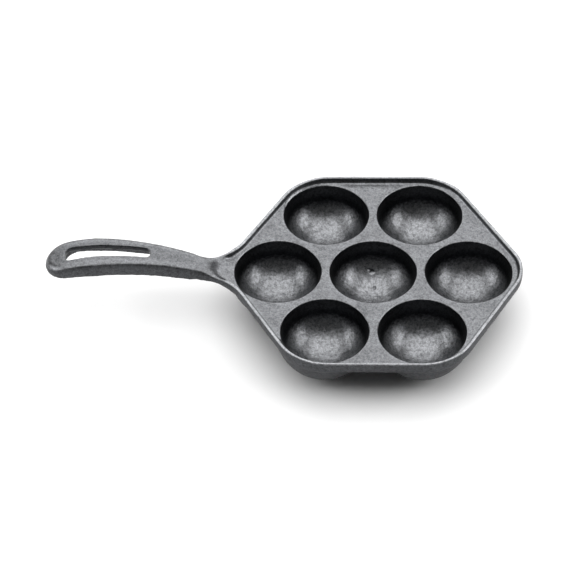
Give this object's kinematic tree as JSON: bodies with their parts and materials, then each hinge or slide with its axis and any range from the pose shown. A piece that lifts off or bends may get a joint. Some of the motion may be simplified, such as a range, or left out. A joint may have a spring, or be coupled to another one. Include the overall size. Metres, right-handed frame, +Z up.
{
  "type": "aebleskiver pan",
  "caption": "Cast-iron pan for ball-shaped pancakes: round wells in a lipped hexagonal plate, with a slotted handle.",
  "frame": {"origin": "on the centre well's axis, on the plane that the wells' flat feet stand on", "axes": "+X away from the handle along the pan's length, +Y across the pan, +Z up out of the wells"},
  "size_m": [0.3307, 0.1856, 0.0525],
  "materials": {
    "raw_iron": "raw sand-cast iron, unpolished, with a dry grey grain"
  },
  "bodies": {
    "root": {"rim_lip": "raw_iron", "deck_plate": "raw_iron", "handle_root": "raw_iron", "handle_neck": "raw_iron", "handle_grip": "raw_iron", "well_centre": "raw_iron", "well_right": "raw_iron", "well_back_right": "raw_iron", "well_back_left": "raw_iron", "well_left": "raw_iron", "well_front_left": "raw_iron", "well_front_right": "raw_iron"}
  },
  "joints": []
}
